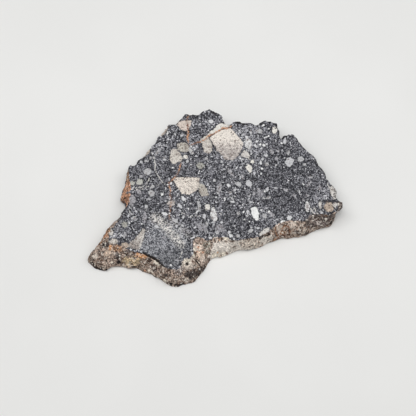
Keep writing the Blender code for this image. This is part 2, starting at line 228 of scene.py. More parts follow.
# The small clasts of each look: x, y, half sizes across and along, and the turn in degrees. A round one
# has a single half size.
SMALL_CLASTS = (
    ("cool grey", (14.15, 11.5, 0.35, 0.7), (10.3, 8.3, 0.4, 0.3), (9.6, 7.5, 0.3), (-15, 6.8, 0.3),
     (-8.2, 13, 0.25), (-6.9, 12.7, 0.3), (-10.3, 7.6, 0.25, 0.4), (10.4, 0.8, 0.3, 0.5),
     (16.9, 0.2, 0.2, 0.4), (0, -0.9, 0.2), (6.4, -4.1, 0.3, 0.45), (1.2, -6.3, 0.25), (2.7, -8.4, 0.35),
     (5.9, -9.9, 0.2), (8.4, -7.6, 0.3), (-7.8, -7.1, 0.3), (6.7, 2.1, 0.6, 0.8, 37), (-9.2, -1, 0.35, 0.4),
     (-7.2, -2.7, 0.35, 0.6, 36), (-2.2, -5, 0.3, 0.6, 5), (-11.7, -7.2, 0.3, 0.55, 61),
     (3, 0, 0.3, 0.4, 35), (21.2, -4.2, 0.27, 0.4, 40), (-6.4, -5.1, 0.33), (7.2, 13.5, 0.24, 0.45),
     (-16.8, -4.5, 0.19, 0.5, 28), (-1, -9.6, 0.26, 0.35, 90), (-0.2, 2.8, 0.3),
     (3.9, 0.7, 0.24, 0.36, 112), (0.3, -8.6, 0.24, 0.36, 69)),
    ("soft grey", (17.3, 7.5, 0.6), (18.1, 6.3, 0.3), (9.1, 13.7, 0.5), (10.4, 6.3, 0.4),
     (-13.7, 4.7, 0.75), (-14, 7, 0.5, 0.2), (-13.1, 7.7, 0.25), (-13.9, -3, 0.3, 0.5), (4.5, -4.4, 0.35),
     (4.4, -9.2, 0.35), (7, -8.1, 0.5, 0.4), (-12.9, 0, 0.6, 0.75, 12), (-3.3, -2.6, 0.3, 1.2, 8),
     (4.6, 2, 0.5, 0.7, 59), (9.8, -4.9, 0.4, 0.55, 57), (-5, 9.3, 0.35, 0.75, 23),
     (-16.3, -5.3, 0.3, 0.55, 109), (-11.8, 9.1, 0.22, 0.85, 160), (-12.7, 1.4, 0.35, 0.5, 142),
     (14.8, 8.9, 0.3, 0.55, 7), (10.6, -1, 0.25, 0.55, 90), (-5.7, 7, 0.33), (3.4, -1.2, 0.25, 0.5, 38),
     (-1.7, -6.6, 0.26, 0.4, 41), (-1.8, 7.6, 0.24, 0.42, 41), (9.7, -1, 0.23, 0.38, 15),
     (19.2, -3.8, 0.2, 0.45, 137)),
    ("mid grey", (8.4, 13.7, 0.35), (-14.9, 3.7, 0.3), (8.7, 0.9, 0.25), (18.5, -0.5, 0.3, 0.2),
     (17.7, -1.4, 0.25), (-10.4, -9.5, 0.25), (-16.7, -1.5, 0.6, 1.2), (0.7, 1, 0.55, 0.95, 173),
     (3, 4.7, 0.3, 1.1, 32), (11.2, -4.6, 0.4, 0.75, 44), (14.2, 0.7, 0.3, 0.55, 64),
     (-15.4, 0.4, 0.4, 0.55, 55), (-18, -9, 0.28, 0.55, 172), (15.9, -0.7, 0.3, 0.5, 45),
     (-7.6, -14.3, 0.24, 0.5, 85), (7.7, -0.1, 0.3, 0.45, 13), (-13.3, -1.3, 0.27, 0.5, 114),
     (11.4, 9.2, 0.27, 0.44, 39), (18.8, 2, 0.24, 0.6, 143), (5.4, 3.6, 0.25, 0.4),
     (19.2, 3.5, 0.25, 0.45, 83), (12.6, 9.3, 0.25, 0.35, 68), (6.8, -0.6, 0.24, 0.36, 69)),
    ("bright grey", (6.4, 12.4, 0.3), (9.2, 6.7, 0.3, 0.45), (8.5, 11.4, 0.3), (-0.9, 15.9, 0.45),
     (-0.7, 14.7, 0.25), (14.7, -5.3, 0.55, 0.5), (9.2, -3.6, 0.25), (1.9, -1.2, 0.2, 0.35),
     (3.4, -1.9, 0.4, 0.2), (3, -9.1, 0.5, 0.35), (3.7, -9.9, 0.2), (-8.8, -15.3, 0.25),
     (-6.4, -1.2, 0.35, 0.7, 30), (-10.1, -4.5, 0.35, 0.55, 73), (2.6, 1.7, 0.35, 0.38), (-9, 2.1, 0.33),
     (8.2, 10.4, 0.27, 0.42, 39), (-3.7, -4, 0.24, 0.38), (21.2, -5, 0.28, 0.3),
     (-4.6, -9.6, 0.24, 0.36, 111)),
    ("white", (10.95, 14.3, 0.2), (9.8, 15, 0.3), (9.4, 5.4, 0.25), (9.1, 10.7, 0.25), (9.9, 10.6, 0.3),
     (-9.8, 13.2, 0.2, 0.4), (-8.6, 5.5, 0.2), (-10.7, -0.2, 0.3), (13.5, -6.3, 0.5), (9.9, 0.5, 0.2),
     (10.7, -4, 0.25), (5.8, -5.7, 0.2), (0.9, -4.4, 0.2), (-0.8, -10.7, 0.26, 0.35, 90),
     (-18.3, -2.9, 0.24, 0.42)),
    ("dull", (0.9, -7.6, 1, 0.8), (-2.7, -7.3, 0.7, 1, 51), (-14.1, -5.1, 0.45, 0.9, 177),
     (8.9, 0, 0.5, 0.7, 30), (12.4, 7.6, 0.3, 0.45, 173), (21, 1.3, 0.24, 0.5, 4)),
    ("warm grey", (21, -2.4, 0.3, 0.75), (23.9, -2.5, 0.6, 0.45, 20), (23.8, 0.3, 0.75, 1.5, 12),
     (-20.8, -8.4, 0.5, 0.65), (9.8, -8.3, 0.5, 1.25, 126)),
    ("warm white", (-6, 8, 0.45), (-1.6, -3, 0.5, 0.7), (12.1, 13.9, 0.5, 0.7), (7.5, 6.9, 0.4)),
    # The last two dark ones, at the right tip, are a painted shadow under its ledge
    ("dark", (-0.3, 17.9, 0.3, 0.5, 60), (-22, -11.2, 0.65, 0.45), (23, -1.75, 1, 0.22, -4),
     (24.5, -1.95, 0.8, 0.3, -14)),
    ("greenish", (-3, 6, 0.75, 0.7), (-21.3, -10.3, 0.35, 0.3), (-18.1, -6.7, 0.6)),
    ("mottled white", (6.7, 10.9, 0.7, 1.2), (18.4, -2.9, 0.45, 1.25)),
    ("smooth grey", (-16.7, 2.2, 0.5), (-15.25, 2.4, 0.65)),
    ("brown", (22.7, -3.6, 0.6, 0.4), (23.2, -2.9, 0.3)),
    ("speckled tan", (22.7, -3, 0.95, 1.05), (-18, -11.2, 0.75, 0.6)),
    ("pale grey", (-20.2, -10.4, 0.8, 0.6)),
    ("speckled pink", (-8.9, -2.2, 0.6, 0.75, 107)),
    ("cream", (-11.8, -14.6, 0.2, 0.45, 60)),
)
GRAINS = [
    Grain(look, x, y, *(sizes if len(sizes) > 1 else sizes * 2))
    for look, *rows in SMALL_CLASTS for x, y, *sizes in rows
]

# Clasts that the upper sawn face doesn't reach: how many, the seed of their draw, and their looks
BURIED = 170
BURIED_SEED = 7
BURIED_LOOKS = ("cool grey", "pale grey", "warm white", "dull", "tan", "cool grey", "grey", "white")

# The large fine-grained clast in the heel: its middle and its half sizes
HEEL_MIDDLE = (-10.1, -11.4)
HEEL_HALF = (4.7, 4.6)
# The pale cloud beside it: points it runs through with its half width at each, where it is bright and faint
BRIGHT_CLOUD = ((-11.9, -5.3, 1.6), (-9.4, -7.8, 1.6), (-7.0, -10.8, 1.5))
FAINT_CLOUD = ((-8.8, -5.9, 1.2), (-6.3, -8.2, 1.5), (-4.9, -9.4, 1.1))
FAINT_SHARE = 0.3
CLOUD_BLUR = 1.5

# Rust-filled cracks: the tone of the filling, from 0, dark brown, to 1, orange, and the points that the
# crack runs through with its half width at each
CRACKS = (
    (0.5, ((-5.4, 17.4, 0.07), (-5.7, 16.7, 0.09), (-5.8, 16.2, 0.1))),
    (0.1, ((-5.8, 16.2, 0.1), (-5.8, 15.5, 0.11), (-5.6, 14.8, 0.15), (-5.6, 14, 0.12))),
    (0.9, ((-5.6, 13.9, 0.1), (-5.5, 13.2, 0.11), (-5.7, 12.4, 0.12), (-5.6, 11.8, 0.08),
     (-5.5, 11.2, 0.04))),
    (0.6, ((-5.4, 10.5, 0.02), (-4.4, 10.9, 0.05), (-3.6, 11.2, 0.07), (-3.1, 11.3, 0.08),
     (-2.4, 11.7, 0.07), (-1.9, 12.1, 0.08))),
    (0.9, ((-1.9, 12.1, 0.08), (-1.4, 12.7, 0.13), (-0.7, 13, 0.06), (-0.1, 13.3, 0.11), (0.7, 13.8, 0.11),
     (1.2, 14.1, 0.08), (1.5, 14.5, 0.13), (2.2, 14.3, 0.17), (2.7, 14.4, 0.16), (3, 14.6, 0.11),
     (3.3, 15, 0.06))),
    (0.6, ((-7, 6.6, 0.03), (-7.1, 6.2, 0.06), (-7.3, 5.1, 0.06), (-7.6, 4.4, 0.03), (-8.1, 3.6, 0.07),
     (-8.7, 2.9, 0.05), (-9.3, 2.3, 0.08), (-9.4, 1.7, 0.06), (-8.9, 0.6, 0.08), (-9.2, 0, 0.04),
     (-9, -0.7, 0.07), (-8.9, -1.8, 0.04), (-9, -3.1, 0.05), (-9.2, -4.7, 0.04), (-9.2, -5.6, 0.02))),
)
# Cracks that also show in the rind and its rim, from 0, black as painted shade in an open gap, to 1, orange
SURFACE_CRACKS = (
    (0, ((-1.4, 12.3, 0.06), (-0.9, 11.5, 0.08), (-0.5, 10.5, 0.06), (-0.2, 9.5, 0.03))),
    (0, ((-14.4, -12.5, 0.08), (-14.2, -12.8, 0.2), (-13.4, -13.3, 0.17), (-12.6, -13.6, 0.19),
     (-11.8, -14.05, 0.16), (-10.8, -15, 0.15), (-10, -15.7, 0.08))),
    (0, ((8.7, -9.6, 0.1), (9, -9.3, 0.05), (9.7, -8.95, 0.03), (10.3, -8.75, 0.03), (10.9, -8.55, 0.04),
     (11.6, -8.2, 0.02))),
    (0, ((4, 15.6, 0.05), (4.8, 15.7, 0.15), (5.6, 15.3, 0.12), (6.8, 15, 0.1))),
    (0, ((23.1, -2.4, 0.06), (23.6, -3, 0.11), (24.3, -3.8, 0.1))),
    (0, ((-4.3, -13.9, 0.05), (-3.9, -14.2, 0.14), (-3.4, -14.6, 0.14), (-2.9, -15, 0.08))),
    (0.6, ((11.9, -7.4, 0.05), (12, -8, 0.1), (12.6, -8.6, 0.08))),
    (0.7, ((13.8, -6.8, 0.05), (13.6, -7.1, 0.09), (13.1, -7.7, 0.09), (12.9, -8.2, 0.05))),
    (0.4, ((13.8, -6.8, 0.05), (14.5, -7, 0.1), (14.9, -7.6, 0.1), (14.7, -8.1, 0.05))),
)
# Pale hairlines on the same face: the points each one runs through, with its half width at each
PALE_VEINS = (
    ((-13, 8.9, 0.08), (-12.5, 7.8, 0.12), (-12.2, 6.4, 0.12), (-12.2, 5.3, 0.12), (-11.8, 4.2, 0.12),
     (-11.5, 3.6, 0.12), (-10.9, 2.7, 0.09), (-10.3, 2, 0.11), (-9.5, 1.5, 0.07)),
    ((-13.2, 3.6, 0.06), (-13.5, 2.8, 0.09), (-13.9, 2, 0.06), (-14.9, 1.3, 0.07), (-16.4, 1.1, 0.04)),
    ((-16.9, 1, 0.05), (-14.9, 0.7, 0.09), (-14.4, 1.2, 0.06), (-12.8, 1.7, 0.07), (-11.7, 1.7, 0.05),
     (-11.2, 2.2, 0.05)),
    ((-6.6, -4.3, 0.04), (-5.5, -4.8, 0.07), (-4.2, -5, 0.07), (-3.2, -4.9, 0.04)),
    ((-17.5, -3.4, 0.05), (-16.9, -4.2, 0.08), (-16.4, -4.9, 0.05)),
    ((-14.1, -8.2, 0.06), (-14.5, -9.6, 0.1), (-14.9, -11.2, 0.14), (-15.2, -11.9, 0.08)),
    ((-5.4, 9.9, 0.04), (-4.9, 9.4, 0.09), (-4.4, 8.8, 0.05)),
    ((-7.1, -14, 0.04), (-6.6, -12.4, 0.06), (-6.3, -10.9, 0.04)),
    ((19.6, -2.9, 0.1), (20.1, -3.8, 0.14), (20.5, -4.6, 0.1)),
    ((19, -3.3, 0.06), (19.4, -4, 0.1), (19.8, -4.8, 0.06)),
    ((22.4, 2.4, 0.05), (22.9, 1.2, 0.1), (23.4, -0.4, 0.05)),
)
# Colours of the rind by name; black and dark also serve as painted shade in the patches marked below
RIND = {name: seen(*colour) for name, colour in {
    "weathered": (160, 143, 131),
    "black": (52, 48, 48),
    "dark": (84, 77, 74),
    "dark brown": (116, 106, 102),
    "red brown": (108, 72, 58),
    "brown": (160, 128, 104),
    "rust": (202, 152, 122),
    "orange": (214, 156, 108),
    "peach": (216, 194, 175),
    "yellow": (206, 184, 152),
    "grey": (160, 150, 145),
    "grey green": (172, 166, 154),
    "tan": (212, 200, 188),
    "pale tan": (224, 216, 207),
    "pink": (218, 202, 189),
    "cream": (240, 230, 214),
}.items()}
# Patches of the rind, each over the ones before it: a colour, then x, y, z and reach of each patch
PATCHES = (
    # The left ledge and flank
    ("brown", (-17.6, 3.7, 2.8, 1.2)), ("rust", (-17.6, 2, 3, 1), (-17.8, 1.2, 2.6, 1.3), (-18.5, 0, 2, 1),
     (-18.9, -0.3, 1, 0.8)), ("red brown", (-19, -0.8, 0.3, 0.5)), ("rust", (-18, -0.6, 3.2, 0.9)),
    # The black patch here is painted shade where the ledge meets the cut edge
    ("black", (-18.1, -0.9, 2.8, 0.45)), ("rust", (-17.6, -1.6, 2.9, 0.8), (-17.7, -2.6, 2.8, 0.6)),
    ("brown", (-21.3, -8, 3, 0.8)), ("rust", (-22, -9.1, 2.8, 0.8)), ("brown", (-22.8, -10.3, 2.8, 0.7),
     (-23.4, -11, 2.6, 0.6)),
    # The left tip
    ("black", (-22, -11.2, 3.3, 0.75)), ("peach", (-20.4, -11.9, 3.3, 0.5)),
    ("orange", (-20.8, -11.3, 3.4, 0.25), (-20.9, -11.9, 3.3, 0.25)), ("peach", (-21.3, -12.7, 2.9, 0.7)),
    ("brown", (-19.5, -11.8, 3.3, 0.8)), ("tan", (-23.9, -13, 2.4, 0.6)),
    # The low black patches at the foot of the tip are dark rind with painted shade under its rim
    ("dark", (-23.1, -12.2, 2.9, 0.25), (-22.2, -12.4, 3, 0.25)), ("black", (-24.6, -13.8, 0.6, 0.5),
     (-23.9, -14.6, 0.4, 0.6), (-22.9, -15.1, 0.2, 0.5), (-21.7, -15.3, 0.5, 0.4)),
    ("cream", (-20.5, -14.2, 1.8, 0.25)), ("grey", (-19.6, -12.9, 2.7, 0.5)),
    ("dark", (-19.2, -13.2, 2.4, 0.6)), ("black", (-19.3, -14, 1.5, 0.5)),
    ("red brown", (-20.1, -14.5, 1.3, 0.3)),
    # Under the pale triangle
    ("dark brown", (-17.3, -12.7, 3.2, 0.7), (-16.2, -12.5, 3.3, 0.7)), ("yellow", (-17.4, -14.3, 2.3, 1.1),
     (-16.1, -14.4, 2.1, 1.1)), ("grey green", (-17.7, -13.6, 2.8, 0.3), (-16.9, -14.3, 1.9, 0.3)),
    ("grey", (-16, -13.6, 2.7, 0.3)), ("dark", (-16.2, -14.9, 1, 0.5)),
    ("orange", (-14.6, -13.1, 3.3, 0.95)), ("yellow", (-15, -13.6, 2.9, 0.35)),
    ("dark", (-13.2, -14, 2.6, 0.5)), ("cream", (-13.2, -15.7, 1.1, 0.35)),
    ("rust", (-14, -15.5, 0.7, 0.3)),
    # The heel
    ("dark brown", (-12.3, -15.4, 2, 0.8)), ("cream", (-11.8, -14.5, 2.9, 0.45), (-11.3, -14.8, 2.8, 0.4),
     (-12.6, -16, 1.2, 0.25)), ("dark", (-10.8, -16.2, 2.5, 0.35), (-9.6, -17, 2.6, 0.35)),
    ("cream", (-10, -17.5, 0.8, 0.35)), ("grey", (-7.2, -16.3, 3.2, 0.9)), ("tan", (-7.9, -17.6, 1.9, 0.4)),
    # These black patches, low at the foot of the heel, are dark rind with painted shade under the rim
    ("black", (-8.8, -18.3, 0.5, 0.4), (-7.7, -18.5, 0.3, 0.5), (-6.6, -18.4, 0.2, 0.5)),
    ("tan", (-5.7, -17.6, 1, 0.6)), ("dark", (-6.7, -15.1, 3.4, 0.3)), ("tan", (-5.4, -15.2, 3, 1.1)),
    ("cream", (-6, -14.4, 3.4, 0.7), (-5.3, -14.3, 3.4, 0.5)), ("dark", (-5.3, -16.7, 2, 0.8)),
    ("black", (-5, -17, 1.4, 0.6)), ("dark", (-4.2, -16.4, 1.4, 1), (-3.2, -15.7, 0.9, 0.9),
     (-2.4, -15, 0.6, 0.8)), ("tan", (-3.3, -14.4, 2.2, 0.35)),
    # The pale column right of the heel
    ("weathered", (-3.5, -10.3, 3.3, 0.7)), ("pink", (-3.6, -11.5, 2.9, 0.9)),
    ("peach", (-3, -12.7, 2.5, 1)), ("pink", (-2.6, -13.5, 1.8, 0.8)), ("cream", (-4.2, -12, 3.4, 0.45),
     (-4.3, -13.3, 3.2, 0.4)), ("rust", (-3.6, -12.4, 3.1, 0.22), (-3.4, -11.4, 3.1, 0.22),
     (-2.5, -12.2, 2.4, 0.22)), ("grey green", (-1.6, -11.1, 3, 0.7), (-1.5, -12.1, 2.2, 0.6)),
    ("pale tan", (-0.3, -12, 1.8, 0.9), (0.4, -11.6, 1.8, 1)),
    # The front. Its first patches, low on the wall, are the rind's pale colour made lighter still as painted
    # light against the shade of the down-facing lower wall
    ("pale tan", (-0.9, -12.7, 0.7, 0.7)), ("cream", (0.2, -12.4, 0.7, 0.9), (1.6, -12.1, 0.7, 0.9)),
    ("pale tan", (3, -11.7, 0.7, 0.9), (4.4, -11.2, 0.8, 0.9), (5.8, -11.1, 0.7, 0.9),
     (7.2, -10.8, 0.7, 0.9)), ("tan", (8.6, -10.3, 0.7, 0.8)), ("pale tan", (10, -9.6, 0.7, 0.8)),
    ("dark", (-1.3, -13, 0.4, 0.4)), ("pale tan", (0.6, -11, 2.6, 1.2), (1.8, -11.1, 2.4, 1.2),
     (3, -10.9, 2.3, 1)), ("cream", (2.1, -9.6, 3.4, 0.5)), ("brown", (0.7, -10, 3.2, 0.22)),
    ("orange", (0.4, -11.8, 1.5, 0.25)), ("red brown", (2.3, -11.9, 0.6, 0.22)),
    ("pale tan", (4.6, -10.5, 2.4, 1.2)), ("tan", (6.1, -10.4, 2.1, 1.2), (7.7, -10.3, 2.4, 1.2)),
    ("pale tan", (9.6, -9.4, 1.8, 1.1), (10.9, -9, 1.6, 0.9)), ("brown", (11.9, -9, 0.6, 0.4)),
    ("peach", (11.5, -8.1, 2.8, 0.35)), ("pink", (13.1, -7.6, 2.9, 1)), ("orange", (13.6, -7.1, 3.3, 0.2),
     (13.2, -7.5, 2.9, 0.2)), ("brown", (13.5, -8, 1.8, 0.5)), ("red brown", (13.7, -8.2, 1.2, 0.3)),
    ("dark", (12.1, -8.5, 1.7, 0.3)), ("black", (14.7, -8.1, 1.2, 0.35)),
    # The right
    ("pink", (15.2, -6.9, 3.2, 0.7)), ("dark brown", (16.2, -7.4, 2, 0.7)), ("dark", (16.8, -8, 1, 0.4)),
    # The dark and black patches from here to the right tip are dark rind, partly painted shade under the
    # tip's overhang
    ("tan", (18, -7.3, 1.6, 0.4)), ("dark", (18.4, -7.5, 1, 0.4), (18.6, -6, 3.4, 0.8),
     (20, -5.3, 3.5, 0.9), (21.6, -5, 3.5, 0.9), (23, -4.8, 3.4, 0.6), (25, -2.7, 3.3, 0.9)),
    ("black", (25.2, -3.2, 2.8, 0.5)), ("dark brown", (19.4, -6.4, 2.4, 1.2), (21.2, -6, 2.2, 1.3),
     (22.6, -5.6, 2, 1.2)), ("grey", (20.7, -5.9, 2.3, 0.5)), ("black", (23.2, -5.6, 1.4, 0.5),
     (23.4, -4.9, 2.6, 0.45)), ("dark", (24.3, -3.8, 2.6, 0.8)),
    # The back
    ("tan", (-10.6, 14.2, 2, 1.5), (-14, 9.6, 2, 1.2)),
)
# Where the rind comes in over the upper sawn face: x, y, how far this holds around there, and how far in
RIND_REACH = (
    (-22, -12, 3, 0.9), (-18.5, -13, 2, 0.6), (-20.5, -7.5, 3, 0.35), (-5.5, -14.5, 1.5, 0.5),
    (-3.5, -10.5, 1.6, 0.8), (1, -10, 2, 0.4), (13.5, -7.3, 2, 0.7), (16, -6.5, 1.5, 0.4),
    (20, -5.2, 1.8, 0.7), (22.6, -4.8, 1.2, 0.6), (-17.8, 1, 1.5, 0.5), (-18.3, -0.4, 1, 1.3),
    (25.2, -2.6, 0.8, 0.8),
)
# Pits in the rind, dug into the wall and painted dark as shade in their hollows: x, y, z and reach
PITS = (
    (-5.65, -14.95, 3.1, 0.5), (-22.1, -11.2, 3.4, 0.35), (2.9, -9.7, 3.4, 0.25), (3.6, -11.2, 1, 0.35),
    (7.3, -10.6, 1.9, 0.35), (5.1, -10.5, 2.2, 0.2), (5.8, -10.4, 2.1, 0.2), (7.8, -10.2, 2.7, 0.25),
    (8.5, -10.2, 2.2, 0.2), (9, -9.4, 2.9, 0.3), (11.6, -7.9, 3.1, 0.25), (-17.3, -0.8, 3.4, 0.25),
    (-17.9, -1, 3.1, 0.25), (-10.8, -16.3, 2.4, 0.25), (-19.1, -13.9, 1.6, 0.4),
)
# Where the matrix is lighter and richer in pale crystals, darker and poorer, or darkened as painted shade:
# x, y, reach and amount
RICHNESS_AND_SHADE = (
    # Crystals crowd right of the largest clast and down from it
    (5.3, 12.7, 2.6, 1.4), (8, 8, 2.5, 0.45), (5.2, 7.8, 1.2, 0.5), (7.3, 5, 1.3, 0.4),
    # Around the bend of the crack, and along the upper left edge
    (-5, 10.5, 1.6, 0.8), (-5, 14.8, 1.2, 0.4), (-1.9, 15.2, 1.8, 0.3), (-10.3, 11.5, 1.8, 0.6),
    (-12.5, 9.8, 1.6, 0.4),
    # Around and below the four-sided clast
    (-2.5, 3.4, 2.2, 0.3), (-2.5, 0.1, 2.2, 0.35), (-7.5, -1, 3, 0.24), (-11, -4.8, 2.6, 0.2),
    (-2.5, -6.5, 2, 0.2), (-11.9, -7.4, 1.6, 0.3),
    # Towards the right tip, beside the bright crystal, at the left ledge and tip, and at the pale column
    (20.7, -1.9, 1.6, 0.5), (22.5, 0.5, 1.8, 0.5), (10, -5, 1.2, 0.9), (12, -6.8, 2, 0.3),
    (-17.5, -2.6, 1, 0.5), (-20, -9.6, 1.2, 0.7), (-4.2, -10.8, 0.8, 0.6),
    # The quiet right side
    (15, 3, 6, -0.42), (12.7, -3, 3.5, -0.24), (19, -2.4, 3.6, -0.28), (14, 9, 3.4, -0.25),
    # The quiet left side and the dark spots by the veins
    (-14.2, 5.3, 2, -0.5), (-9.5, 5.5, 2, -0.24), (-10.5, 1, 1.3, -0.6), (-13.4, -1.8, 2.6, -0.4),
    # The middle and the front
    (1.2, 2.9, 1.9, -0.5), (7.4, 2.6, 1.3, -0.5), (-3.7, -3.3, 2, -0.4), (4.5, -6.5, 3, -0.36),
    # Painted shade: the black edge at the top, and the lower part of the fine-grained clast
    (5, 15.3, 1.2, -1.2), (-9.5, -14.5, 2.2, -1), (-6.6, -12.6, 1.7, -1),
)

# Places and distances, in millimetres


def inside_outline(points, outline):
    """How far each point lies inside an outline, and less than 0 outside it."""
    corners = np.array(outline)
    reach = np.full(len(points), np.inf)
    inside = np.zeros(len(points), bool)
    for start, end in zip(corners, np.roll(corners, -1, axis=0)):
        side = end - start
        away = points - start
        share = np.clip(away @ side / (side @ side), 0.0, 1.0)
        reach = np.minimum(reach, np.linalg.norm(away - share[:, None] * side, axis=1))
        spans = (start[1] > points[:, 1]) != (end[1] > points[:, 1])
        height = np.where(spans, end[1] - start[1], 1.0)
        crossing = start[0] + (points[:, 1] - start[1]) * side[0] / height
        inside ^= spans & (points[:, 0] < crossing)
    return np.where(inside, reach, -reach)


def inside_grain(places, grain, middle_height, half_height):
    """How far each place lies inside an ellipsoid, and less than 0 outside it."""
    turn = math.radians(grain.turn)
    away_x = places[:, 0] - grain.x
    away_y = places[:, 1] - grain.y
    across = (away_x * math.cos(turn) + away_y * math.sin(turn)) / grain.across
    along = (away_y * math.cos(turn) - away_x * math.sin(turn)) / grain.along
    upright = (places[:, 2] - middle_height) / half_height
    return (1.0 - np.sqrt(across ** 2 + along ** 2 + upright ** 2)) * min(grain.across, grain.along)


def inside_line(points, line):
    """How far each point lies inside a line given as places with its half width at each."""
    inside = np.full(len(points), -np.inf)
    for start, end in zip(np.array(line), np.array(line[1:])):
        side = end[:2] - start[:2]
        away = points - start[:2]
        share = np.clip(away @ side / (side @ side), 0.0, 1.0)
        half_width = start[2] + share * (end[2] - start[2])
        inside = np.maximum(inside, half_width - np.linalg.norm(away - share[:, None] * side, axis=1))
    return inside


def from_point(places, *point):
    """How far each place is from a point, or from an upright line where the point has no height."""
    return np.linalg.norm(places[:, :len(point)] - point, axis=1)


def eased(values, low, high):
    """Values turned into shares that pass smoothly from 0 at low to 1 at high."""
    share = np.clip((values - low) / (high - low), 0.0, 1.0)
    return share * share * (3.0 - 2.0 * share)


# The stone's mesh


def fine_mesh(node):
    """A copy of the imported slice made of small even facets."""
    rough = bpy.data.objects.new("rough_slice", node.data.copy())
    bpy.context.scene.collection.objects.link(rough)
    remesh = rough.modifiers.new("even facets", "REMESH")
    remesh.mode = "VOXEL"
    remesh.voxel_size = FACET * MM
    bpy.context.view_layer.update()
    graph = bpy.context.evaluated_depsgraph_get()
    mesh = bpy.data.meshes.new_from_object(rough.evaluated_get(graph))
    bpy.data.objects.remove(rough)
    mesh.name = "breccia_slice"
    mesh.materials.clear()
    return mesh


def mesh_vectors(mesh, kind):
    """The places or the normals of a mesh's vertices, as rows of three."""
    values = np.zeros(len(mesh.vertices) * 3, np.float32)
    mesh.vertices.foreach_get(kind, values)
    return values.reshape(-1, 3).astype(float)


def mesh_places(mesh):
    """The vertices of a mesh, in millimetres."""
    return mesh_vectors(mesh, "co") / MM


def roughen_wall(mesh):
    """Gives the wall its lumps and pits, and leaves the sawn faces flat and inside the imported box."""
    places = mesh_places(mesh)
    heights = places[:, 2]
    heights[heights > THICKNESS - SNAP] = THICKNESS
    heights[heights < SNAP] = 0.0
    free = eased(np.minimum(heights, THICKNESS - heights), 0.0, RELIEF_FADE)
    shift = np.zeros(len(places))
    for index in np.nonzero(free > 0.0)[0]:
        place = Vector(places[index])
        shift[index] = sum(height * noise.noise(place / size) for size, height in WALL_LUMPS)
    for *middle, reach in PITS:
        shift -= PIT_DEPTH * reach * eased(reach - from_point(places, *middle), 0.0, reach)
    places += mesh_vectors(mesh, "normal") * (shift * free)[:, None]
    low, high = (np.array(corner) / MM for corner in cad_box)
    places = np.clip(places, low, high)
    mesh.vertices.foreach_set("co", (places * MM).astype(np.float32).ravel())
    mesh.update()


def buried_grains():
    """Clasts that the upper sawn face doesn't reach, for the lower one and the wall."""
    chance = np.random.default_rng(BURIED_SEED)
    made = []
    for _ in range(BURIED):
        size = 0.25 + 1.3 * chance.random() ** 3.5
        middle_height = chance.uniform(-0.2, min(1.6, THICKNESS - 0.3 - size))
        x, y = chance.uniform(-24.0, 25.0), chance.uniform(-18.0, 18.0)
        look = BURIED_LOOKS[chance.integers(len(BURIED_LOOKS))]
        grain = Grain(look, x, y, size, size * chance.uniform(0.7, 1.5), chance.uniform(0, 180))
        made.append((grain, middle_height, min(grain.across, grain.along)))
    return made


def clast_marks(places):
    """How far each place lies inside the nearest clast, with that clast's colour, speckle and haze."""
    depth = THICKNESS - places[:, 2]
    best = np.full(len(places), FAR_OUTSIDE)
    colour = np.zeros((len(places), 4))
    speckle, haze, plain = np.zeros((3, len(places)))

    def mark(edge, look, lower_look, lower):
        nearer = edge > best
        best[nearer] = edge[nearer]
        haze[nearer] = (look.haze + (lower_look.haze - look.haze) * lower)[nearer]
        speckle[nearer] = (look.speckle + (lower_look.speckle - look.speckle) * lower)[nearer]
        part = lower[nearer, None]
        colour[nearer] = np.array(look.colour) * (1.0 - part) + np.array(lower_look.colour) * part

    for clast in CLASTS:
        moved = places[:, :2] - depth[:, None] * np.array(clast.lean)
        edge = inside_outline(moved, clast.outline) - clast.taper * depth
        lower = 1.0 - eased(places[:, 1], clast.fades[1], clast.fades[0] + 1e-6)
        lower *= bool(clast.lower_look)
        mark(edge, LOOKS[clast.look], LOOKS[clast.lower_look or clast.look], lower)
    shown = [(grain, THICKNESS, (grain.across + grain.along) / 2) for grain in GRAINS]
    for grain, middle_height, half_height in shown + buried_grains():
        edge = inside_grain(places, grain, middle_height, half_height)
        mark(edge, LOOKS[grain.look], LOOKS[grain.look], plain)
    return best, colour, speckle, haze


def crack_marks(places, cracks):
    """How far each place lies inside the nearest of some cracks, and the tone of what fills it."""
    best = np.full(len(places), FAR_OUTSIDE)
    tone = np.zeros(len(places))
    for filling, line in cracks:
        inside = inside_line(places[:, :2], line)
        nearer = inside > best
        best[nearer] = inside[nearer]
        tone[nearer] = filling
    return best, tone


def vein_marks(places):
    """How far each place lies inside the nearest pale vein."""
    return np.max([inside_line(places[:, :2], line) for line in PALE_VEINS], axis=0)


def rind_marks(places):
    """The colour of the rind at each place, its patches over its plain colour, and where there is rind."""
    colour = np.tile(RIND["weathered"], (len(places), 1))
    in_front = RIND_LINE[0] + RIND_LINE[1] * places[:, 0] - places[:, 1]
    shown = eased(in_front, -RIND_LINE_BLUR, RIND_LINE_BLUR)
    bulges = np.array([noise.noise(Vector(place) / PATCH_BULGES) for place in places])
    for name, *spots in PATCHES:
        for *middle, reach in spots:
            near = from_point(places, *middle) + BULGE_HEIGHT * reach * bulges
            cover = eased(1.25 * reach - near, 0.0, 0.5 * reach)
            shown = np.maximum(shown, cover)
            colour += cover[:, None] * (np.array(RIND[name]) - colour)
    return colour, shown


